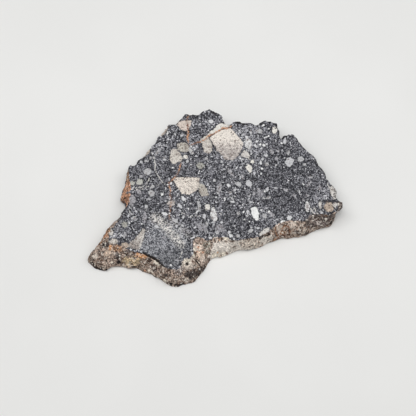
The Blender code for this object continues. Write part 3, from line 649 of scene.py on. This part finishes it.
def rim_marks(places):
    """How far each place lies inside the rind that comes in over the rim, and how far from the rim."""
    upper = places[:, 2] > THICKNESS / 2
    from_rim = np.zeros(len(places))
    for side, height in ((upper, THICKNESS - RIM_BELOW), (~upper, RIM_BELOW)):
        rim = np.nonzero(np.abs(places[:, 2] - height) < RIM_BELOW / 2)[0]
        tree = KDTree(len(rim))
        for index in rim:
            tree.insert((places[index, 0], places[index, 1], 0.0), int(index))
        tree.balance()
        for index in np.nonzero(side)[0]:
            from_rim[index] = tree.find((places[index, 0], places[index, 1], 0.0))[2]
    reach = np.full(len(places), PLAIN_REACH)
    for *middle, radius, amount in RIND_REACH:
        near = from_point(places, *middle)
        reach += (amount - PLAIN_REACH) * eased(1.5 * radius - near, 0.0, radius)
    return reach - from_rim, from_rim


def pit_shade_marks(places):
    """How deep each place lies in a pit of the rind, from 0 to 1, for the painted shade in the pits."""
    deep = [eased(reach - from_point(places, *middle), 0.0, 0.6 * reach) for *middle, reach in PITS]
    return np.max(deep, axis=0)


def halo_marks(places):
    """The pale cloud above and right of the large fine-grained clast, from 0 to 1."""
    bright, faint = (
        eased(inside_line(places[:, :2], line), 0.0, CLOUD_BLUR) for line in (BRIGHT_CLOUD, FAINT_CLOUD)
    )
    return np.maximum(bright, FAINT_SHARE * faint)


def richness_and_shade_marks(places):
    """How rich in pale crystals the matrix is at each place, and less than 0 where it is poor or darkened as
    painted shade.
    """
    return sum(
        amount * eased(1.5 * reach - from_point(places, *middle), 0.0, reach)
        for *middle, reach, amount in RICHNESS_AND_SHADE
    )


def lithic_marks(places):
    """How far each place lies inside the large fine-grained clast in the heel."""
    away = (places[:, :2] - HEEL_MIDDLE) / HEEL_HALF
    return (1.0 - np.hypot(*away.T)) * min(HEEL_HALF)


def store(mesh, name, values):
    """Keeps a number or a colour for each vertex under a name that the material reads."""
    kind, field = ("FLOAT_COLOR", "color") if values.ndim == 2 else ("FLOAT", "value")
    kept = mesh.attributes.new(name, kind, "POINT")
    kept.data.foreach_set(field, values.astype(np.float32).ravel())


def mark_stone(mesh):
    """Stores every mark of the stone on its mesh."""
    places = mesh_places(mesh)
    marks = {
        ("clast_edge", "clast_colour", "clast_speckle", "clast_haze"): clast_marks(places),
        ("crack_edge", "crack_tone"): crack_marks(places, CRACKS),
        ("surface_crack_edge", "surface_crack_tone"): crack_marks(places, SURFACE_CRACKS),
        ("rind_colour", "weathered"): rind_marks(places),
        ("rind_edge", "from_rim"): rim_marks(places),
        ("vein_edge", "rind_pit"): (vein_marks(places), pit_shade_marks(places)),
        ("halo", "rich", "lithic_edge"): (halo_marks(places), richness_and_shade_marks(places), lithic_marks(places)),
    }
    for names, all_values in marks.items():
        for name, values in zip(names, all_values):
            store(mesh, name, values)


# Node helpers

CRYSTALS_GROUP = "angular_crystals"


def feed(tree, socket, value):
    """Joins a socket to another node's output, or sets it to a plain value."""
    if isinstance(value, bpy.types.NodeSocket):
        tree.links.new(value, socket)
    else:
        socket.default_value = value


def put(tree, kind, inputs=None, **settings):
    """Adds a node with its settings, and feeds its inputs."""
    made = tree.nodes.new(kind)
    for name, value in settings.items():
        setattr(made, name, value)
    for name, value in (inputs or {}).items():
        feed(tree, made.inputs[name], value)
    return made


def maths(tree, operation, *values):
    """The result of an operation on one, two or three values."""
    return put(tree, "ShaderNodeMath", dict(enumerate(values)), operation=operation).outputs[0]


def times(tree, first, second):
    """Two values multiplied."""
    return maths(tree, "MULTIPLY", first, second)


def plus(tree, first, second):
    """Two values added."""
    return maths(tree, "ADD", first, second)


def spread(tree, value, low, high, to_low=0.0, to_high=1.0):
    """A value moved from one range to another and held inside it, smoothly at both ends."""
    inputs = {"Value": value, "From Min": low, "From Max": high, "To Min": to_low, "To Max": to_high}
    return put(tree, "ShaderNodeMapRange", inputs, interpolation_type="SMOOTHSTEP").outputs[0]


def mixed(tree, share, first, second, blend="MIX"):
    """Two colours mixed by a share."""
    inputs = {0: share, 6: first, 7: second}
    return put(tree, "ShaderNodeMix", inputs, data_type="RGBA", blend_type=blend).outputs[2]


def dimmed(tree, colour, value, *span):
    """A colour made darker or lighter by a value, moved from one range to another as in spread."""
    return mixed(tree, 1.0, colour, spread(tree, value, *span), "MULTIPLY")


def lumps(tree, place, size, detail=2.0, roughness=0.5):
    """A cloudy value from 0 to 1 whose lumps are of a size in millimetres."""
    inputs = {"Vector": place, "Scale": 1 / (size * MM), "Detail": detail, "Roughness": roughness}
    return put(tree, "ShaderNodeTexNoise", inputs).outputs["Fac"]


def marked(tree, name, output="Fac"):
    """A mark stored on the stone's mesh."""
    return put(tree, "ShaderNodeAttribute", attribute_name=name).outputs[output]


def new_material(name, specular):
    """A material, its node tree, its shader's inputs, and the place that its textures are drawn from."""
    material = bpy.data.materials.new(name)
    material.use_nodes = True
    tree = material.node_tree
    shader = tree.nodes["Principled BSDF"].inputs
    shader["Specular IOR Level"].default_value = specular
    return material, tree, shader, put(tree, "ShaderNodeTexCoord").outputs["Object"]


def crystals_group():
    """Angular crystals: a mask of where they are, and a tone that differs from one to the next."""
    group = bpy.data.node_groups.new(CRYSTALS_GROUP, "ShaderNodeTree")
    group.interface.new_socket("Place", in_out="INPUT", socket_type="NodeSocketVector")
    for label in ("Per metre", "Share", "Inset"):
        group.interface.new_socket(label, in_out="INPUT", socket_type="NodeSocketFloat")
    for label in ("Mask", "Tone"):
        group.interface.new_socket(label, in_out="OUTPUT", socket_type="NodeSocketFloat")
    given, result = (group.nodes.new(kind) for kind in ("NodeGroupInput", "NodeGroupOutput"))
    cell = {"Vector": given.outputs["Place"], "Scale": given.outputs["Per metre"], "Randomness": 1.0}
    cells = put(group, "ShaderNodeTexVoronoi", cell)
    edges = put(group, "ShaderNodeTexVoronoi", cell, feature="DISTANCE_TO_EDGE")
    chances = put(group, "ShaderNodeSeparateColor", {"Color": cells.outputs["Color"]})
    present = maths(group, "LESS_THAN", chances.outputs["Red"], given.outputs["Share"])
    uneven = spread(group, chances.outputs["Green"], 0.0, 1.0, 0.5, 2.2)
    inset = times(group, uneven, given.outputs["Inset"])
    mask = spread(group, maths(group, "SUBTRACT", edges.outputs["Distance"], inset), -0.03, 0.05)
    feed(group, result.inputs["Mask"], times(group, mask, present))
    feed(group, result.inputs["Tone"], chances.outputs["Blue"])


def specks(tree, place, size, share, inset):
    """The mask and tone of crystals in cells of a size in millimetres."""
    inputs = {"Place": place, "Per metre": 1 / (size * MM), "Share": share, "Inset": inset}
    made = put(tree, "ShaderNodeGroup", inputs, node_tree=bpy.data.node_groups[CRYSTALS_GROUP])
    return made.outputs["Mask"], made.outputs["Tone"]


def warped(tree, place, size, reach):
    """Places shifted by a noise, so that what is drawn there gets ragged edges."""
    cloudy = put(tree, "ShaderNodeTexNoise", {"Vector": place, "Scale": 1 / (size * MM), "Detail": 2.0})
    centred = put(tree, "ShaderNodeVectorMath", {0: cloudy.outputs["Color"], 1: (0.5, 0.5, 0.5)},
                  operation="SUBTRACT")
    scaled = put(tree, "ShaderNodeVectorMath", {0: centred.outputs[0], "Scale": 2 * reach * MM},
                 operation="SCALE")
    return put(tree, "ShaderNodeVectorMath", {0: place, 1: scaled.outputs[0]}, operation="ADD").outputs[0]


# The stone's finishes. A pair of colours goes from the darkest to the lightest.

MATRIX = (seen(50, 50, 56), seen(162, 162, 168))
MATRIX_SEAMS = seen(42, 42, 47)
BLACK_CRYSTALS = seen(20, 20, 24)
HEEL_CLAST = (seen(48, 50, 58), seen(196, 197, 202))
HEEL_CLAST_SEAMS = seen(50, 51, 58)
PALE_CLOUD = seen(234, 229, 222)
CLAST_SPECKLE = seen(98, 84, 78)
CLAST_RIM = seen(40, 40, 44)
HAIRLINE = seen(206, 203, 199)
RUST_STAIN = seen(168, 134, 112)
CRACK_FILLING = (seen(106, 68, 52), seen(204, 156, 122))
# The darkest is painted shade in open cracks, the lightest their orange filling
SURFACE_CRACK_SHADE_AND_FILLING = (seen(30, 26, 25), seen(176, 122, 88))
# Painted shade along the back rim of the sawn face
BACK_RIM_SHADE = seen(38, 36, 38)
RIND_SEAMS = seen(58, 49, 45)
# Painted shade in the rind's pits
PIT_SHADE = seen(34, 30, 29)
TABLE = ((0.79, 0.79, 0.775, 1.0), (0.81, 0.81, 0.795, 1.0))

# Crystals in the matrix: cell size in millimetres, share of the rich share, inset, darkest and lightest
CRYSTALS = (
    (0.25, 0.95, 0.02, seen(122, 122, 128), seen(220, 220, 224)),
    (0.42, 0.29, 0.07, seen(166, 166, 170), seen(246, 246, 246)),
    (0.8, 0.08, 0.16, seen(140, 140, 144), seen(206, 206, 208)),
)
# Pale and dark crystals in the rind: cell size, share, inset, strength, darkest and lightest
RIND_CRYSTALS = (
    (0.36, 0.18, 0.05, 0.85, seen(196, 182, 168), seen(240, 234, 225)),
    (0.33, 0.22, 0.04, 0.9, seen(40, 36, 36), seen(96, 70, 54)),
)
# Cell sizes of the other grains, in millimetres
GRIT = 0.22
BLACK_CRYSTAL = 0.3
FINE_SPECKLE, COARSE_SPECKLE = 0.2, 0.36
RIND_GRAIN = 0.25

ROUGHNESS_WALL, ROUGHNESS_SAWN = 0.92, 0.62
BUMP_HEIGHT = 0.12


def stone_material():
    """The breccia: its dark matrix, clasts, cracks and rind."""
    material, tree, shader, place = new_material("meteorite_stone", 0.12)
    ragged = warped(tree, place, 0.3, 0.09)
    crystals_group()

    grit, tones = specks(tree, place, GRIT, 1.0, 0.03)
    edge_shift = raggedness(tree, place, tones)
    ground = matrix_colour(tree, place, ragged, grit, tones)
    ground = with_heel_clast(tree, ground, place, grit, tones, edge_shift)
    ground = with_clasts(tree, ground, place, ragged, tones, edge_shift)
    ground = with_cracks(tree, ground, place, edge_shift)
    rind = rind_colour(tree, place, ragged)
    broken = dimmed(tree, ground, lumps(tree, place, 0.5, 3.0), 0.3, 0.7, 0.6, 1.15)
    wall = mixed(tree, marked(tree, "weathered"), broken, rind)
    sawn = sawn_mask(tree, place)
    over = spread(tree, plus(tree, marked(tree, "rind_edge"), edge_shift), -0.08, 0.08)
    face = mixed(tree, times(tree, over, marked(tree, "weathered")), ground, rind)
    # Painted shade along the rim at the back
    face = with_back_rim_shade(tree, face, edge_shift)
    colour = with_surface_cracks(tree, mixed(tree, sawn, wall, face), edge_shift)
    feed(tree, shader["Base Color"], colour)
    feed(tree, shader["Roughness"], spread(tree, sawn, 0.0, 1.0, ROUGHNESS_WALL, ROUGHNESS_SAWN))

    fine = times(tree, lumps(tree, place, 0.22, 3.0, 0.6), spread(tree, sawn, 0, 1, 1.0, 0.12))
    coarse = times(tree, lumps(tree, place, 0.6, 4.0, 0.6), spread(tree, sawn, 0, 1, 1.6, 0.05))
    relief = {"Height": plus(tree, fine, coarse), "Distance": BUMP_HEIGHT * MM, "Strength": 1.0}
    feed(tree, shader["Normal"], put(tree, "ShaderNodeBump", relief).outputs["Normal"])
    return material


def sawn_mask(tree, place):
    """1 on the two sawn faces and 0 on the wall."""
    height = put(tree, "ShaderNodeSeparateXYZ", {"Vector": place}).outputs["Z"]
    from_middle = maths(tree, "ABSOLUTE", maths(tree, "SUBTRACT", height, THICKNESS / 2 * MM))
    return spread(tree, from_middle, (THICKNESS / 2 - 0.06) * MM, (THICKNESS / 2 - 0.01) * MM)


def raggedness(tree, place, tones):
    """A shift of a clast's edge in millimetres: soft bulges, and single grains that stand in or out."""
    bulges = spread(tree, lumps(tree, place, 0.5, 3.0), 0.2, 0.8, -0.16, 0.16)
    return plus(tree, bulges, spread(tree, tones, 0.0, 1.0, -0.08, 0.08))


def matrix_colour(tree, place, ragged, grit, tones):
    """The dark matrix: crushed rock from dust to crystals of about a millimetre."""
    # The richness is also below 0 where the matrix is darkened as painted shade
    rich = marked(tree, "rich")
    colour = mixed(tree, maths(tree, "POWER", tones, 2.0), *MATRIX)
    dusty = dimmed(tree, colour, lumps(tree, place, 0.17, 2.0, 0.6), 0.3, 0.7, 0.6, 1.4)
    colour = mixed(tree, grit, MATRIX_SEAMS, dusty)
    clouds = plus(tree, lumps(tree, place, 2.4, 2.0, 0.6), times(tree, rich, 0.3))
    colour = dimmed(tree, colour, clouds, 0.2, 0.9, 0.82, 1.45)
    share = spread(tree, plus(tree, lumps(tree, place, 2.0, 2.0), rich), -0.3, 2.0, 0.02, 0.4)
    for size, part, inset, darkest, lightest in CRYSTALS:
        mask, tone = specks(tree, ragged, size, times(tree, share, part), inset)
        colour = mixed(tree, mask, colour, mixed(tree, tone, darkest, lightest))
    black, _ = specks(tree, ragged, BLACK_CRYSTAL, 0.14, 0.02)
    return mixed(tree, times(tree, black, 0.9), colour, BLACK_CRYSTALS)


def with_heel_clast(tree, ground, place, grit, tones, edge_shift):
    """The ground with the large fine-grained clast in the heel, and the pale cloud beside it."""
    fine = mixed(tree, grit, HEEL_CLAST_SEAMS, mixed(tree, tones, *HEEL_CLAST))
    # Painted shade: darker where the richness is below 0, on the clast's lower part
    fine = dimmed(tree, fine, marked(tree, "rich"), -1.0, 0.5, 0.6, 1.05)
    edge = plus(tree, marked(tree, "lithic_edge"), times(tree, edge_shift, 3.0))
    ground = mixed(tree, spread(tree, edge, -0.3, 0.3, 0.0, 0.92), ground, fine)
    wisps = spread(tree, lumps(tree, place, 0.6, 4.0, 0.65), 0.34, 0.6, 0.22, 1.0)
    cloud = times(tree, times(tree, marked(tree, "halo"), wisps), spread(tree, tones, 0.1, 0.75, 0.08, 0.96))
    return mixed(tree, cloud, ground, PALE_CLOUD)


def with_clasts(tree, ground, place, ragged, tones, edge_shift):
    """The ground with the placed clasts over it, each with its colour, dark grains and thin dark rim."""
    mottle = lumps(tree, place, 0.3, 4.0, 0.7)
    colour = dimmed(tree, marked(tree, "clast_colour", "Color"), mottle, 0.3, 0.7, 0.8, 1.1)
    speckle = marked(tree, "clast_speckle")
    fine, chances = specks(tree, ragged, FINE_SPECKLE, 1.0, 0.03)
    fine = times(tree, fine, maths(tree, "LESS_THAN", chances, speckle))
    coarse, _ = specks(tree, ragged, COARSE_SPECKLE, times(tree, speckle, 0.42), 0.06)
    dark = maths(tree, "MAXIMUM", times(tree, fine, 0.5), times(tree, coarse, 0.78))
    colour = mixed(tree, dark, colour, CLAST_SPECKLE)
    haze = marked(tree, "clast_haze")
    shift = times(tree, edge_shift, spread(tree, haze, 0.0, 1.0, 0.7, 1.7))
    inside = plus(tree, marked(tree, "clast_edge"), shift)
    rim = times(tree, spread(tree, inside, -0.28, -0.08, 0.0, 0.5), spread(tree, haze, 0.0, 0.6, 1.0, 0.0))
    ground = mixed(tree, rim, ground, CLAST_RIM)
    blur = maths(tree, "MULTIPLY_ADD", haze, 0.2, 0.05)
    cover = spread(tree, inside, times(tree, blur, -1.0), blur)
    gaps = maths(tree, "SUBTRACT", 0.9, spread(tree, tones, 0.1, 0.7))
    thin = times(tree, spread(tree, haze, 0.1, 0.5), gaps)
    cover = times(tree, cover, maths(tree, "SUBTRACT", 1.0, thin))
    return mixed(tree, cover, ground, colour)


def with_cracks(tree, ground, place, edge_shift):
    """The ground with pale hairlines and rust-filled cracks over it."""
    shift = times(tree, edge_shift, 0.75)
    vein = spread(tree, plus(tree, marked(tree, "vein_edge"), shift), -0.03, 0.04, 0.0, 0.85)
    ground = mixed(tree, vein, ground, HAIRLINE)
    edge = marked(tree, "crack_edge")
    tone = marked(tree, "crack_tone")
    stain = times(tree, spread(tree, edge, -0.35, 0.0, 0.0, 0.28), tone)
    ground = mixed(tree, stain, ground, RUST_STAIN)
    varied = plus(tree, tone, spread(tree, lumps(tree, place, 0.4, 2.0), 0.3, 0.7, -0.6, 0.4))
    filling = mixed(tree, spread(tree, varied, 0.0, 1.0), *CRACK_FILLING)
    gaps = spread(tree, lumps(tree, place, 0.5, 2.0), 0.36, 0.46, 0.45, 0.95)
    crack = times(tree, spread(tree, plus(tree, edge, shift), -0.06, 0.04), gaps)
    return mixed(tree, crack, ground, filling)


def with_surface_cracks(tree, colour, edge_shift):
    """The colour with the cracks that show in the rind over it, on the face and on the wall below it: black
    as painted shade where open, orange where filled.
    """
    edge = plus(tree, marked(tree, "surface_crack_edge"), times(tree, edge_shift, 0.45))
    filling = mixed(tree, marked(tree, "surface_crack_tone"), *SURFACE_CRACK_SHADE_AND_FILLING)
    return mixed(tree, spread(tree, edge, -0.06, 0.04, 0.0, 0.95), colour, filling)


def with_back_rim_shade(tree, face, edge_shift):
    """The face darkened along its chipped rim where the rind doesn't reach, at the back: painted shade of
    the edge that turns away from the light.
    """
    rim_distance = plus(tree, marked(tree, "from_rim"), times(tree, edge_shift, 2.0))
    broken = maths(tree, "SUBTRACT", 1.0, marked(tree, "weathered"))
    return mixed(tree, times(tree, spread(tree, rim_distance, 0.05, 0.3, 0.75, 0.0), broken), face, BACK_RIM_SHADE)


def rind_colour(tree, place, ragged):
    """The weathered rind: coarse grains around its local colour, with pale, dark and rusty ones, and painted
    shade in its pits.
    """
    base = marked(tree, "rind_colour", "Color")
    grains, tones = specks(tree, ragged, RIND_GRAIN, 1.0, 0.03)
    colour = mixed(tree, grains, RIND_SEAMS, dimmed(tree, base, tones, 0.0, 1.0, 0.42, 1.9))
    colour = dimmed(tree, colour, lumps(tree, place, 0.8, 3.0, 0.6), 0.3, 0.7, 0.9, 1.14)
    for size, share, inset, strength, darkest, lightest in RIND_CRYSTALS:
        mask, tone = specks(tree, ragged, size, share, inset)
        colour = mixed(tree, times(tree, mask, strength), colour, mixed(tree, tone, darkest, lightest))
    parts = put(tree, "ShaderNodeSeparateColor", {"Color": base}, mode="HSV").outputs
    by_brightness = spread(tree, parts["Blue"], 0.4, 0.8, 0.0, 0.5)
    by_strength = spread(tree, parts["Green"], 0.55, 0.8, 0.0, 0.4)
    colour = mixed(tree, maths(tree, "MAXIMUM", by_brightness, by_strength), colour, base)
    # Painted shade in the pits
    return mixed(tree, marked(tree, "rind_pit"), colour, PIT_SHADE)


def table_material():
    """A plain pale table."""
    material, tree, shader, place = new_material("pale_table", 0.1)
    tone = spread(tree, lumps(tree, place, 30.0), 0.3, 0.7)
    feed(tree, shader["Base Color"], mixed(tree, tone, *TABLE))
    shader["Roughness"].default_value = 0.9
    return material


# The scene, in metres

TABLE_HALF = 0.6
# The lights: place, size and power
LIGHTS = {
    "left_softbox": ((-0.14, 0.045, 0.22), 0.14, 0.172),
    "right_softbox": ((0.14, 0.045, 0.22), 0.14, 0.172),
    "overhead_softbox": ((0.0, 0.0, 0.3), 0.16, 0.355),
    "front_fill": ((0.0, -0.3, 0.08), 0.2, 0.111),
}
SKY_STRENGTH = 0.25
# The camera leans back from straight down by this angle, and looks at this point from this far
CAMERA_TILT = math.radians(22.0)
CAMERA_DISTANCE = 0.312
CAMERA_TARGET = Vector((-0.0015, -0.0032, 0.0035))


def placed(name, data):
    """A new object of the scene."""
    made = bpy.data.objects.new(name, data)
    bpy.context.scene.collection.objects.link(made)
    return made


def add_stone():
    """The slice itself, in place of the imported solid."""
    mesh = fine_mesh(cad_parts["meteorite_slice"])
    roughen_wall(mesh)
    mark_stone(mesh)
    mesh.materials.append(stone_material())
    mesh.shade_smooth()
    stone = placed("breccia_slice", mesh)
    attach(stone, "root")
    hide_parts("meteorite_slice")


def add_table():
    """The table that the slice lies on."""
    mesh = bpy.data.meshes.new("table_top")
    corners = [(x * TABLE_HALF, y * TABLE_HALF, 0.0) for x, y in ((-1, -1), (1, -1), (1, 1), (-1, 1))]
    mesh.from_pydata(corners, [], [(0, 1, 2, 3)])
    mesh.materials.append(table_material())
    floor = placed("table_top", mesh)


def light_scene():
    """Even studio light: softboxes overhead and on either side, and a weak low fill from the front."""
    world = bpy.data.worlds.new("studio")
    world.use_nodes = True
    sky = world.node_tree.nodes["Background"]
    sky.inputs["Color"].default_value = (1.0, 1.0, 1.0, 1.0)
    sky.inputs["Strength"].default_value = SKY_STRENGTH
    bpy.context.scene.world = world
    for name, (place, size, power) in LIGHTS.items():
        light = bpy.data.lights.new(name, "AREA")
        light.size = size
        light.energy = power
        holder = placed(name, light)
        holder.location = place
        holder.rotation_euler = (-Vector(place)).to_track_quat("-Z", "Y").to_euler()
    bpy.context.scene.view_settings.view_transform = "Standard"


def add_camera():
    """The photograph's view: almost straight down, from the front."""
    lens = bpy.data.cameras.new("view")
    lens.lens = 135.0
    lens.sensor_width = 36.0
    lens.clip_start = 0.01
    camera = placed("view", lens)
    away = Vector((0.0, -math.sin(CAMERA_TILT), math.cos(CAMERA_TILT)))
    camera.location = CAMERA_TARGET + away * CAMERA_DISTANCE
    camera.rotation_euler = (CAMERA_TILT, 0.0, 0.0)
    bpy.context.scene.camera = camera


add_stone()
add_table()
light_scene()
add_camera()
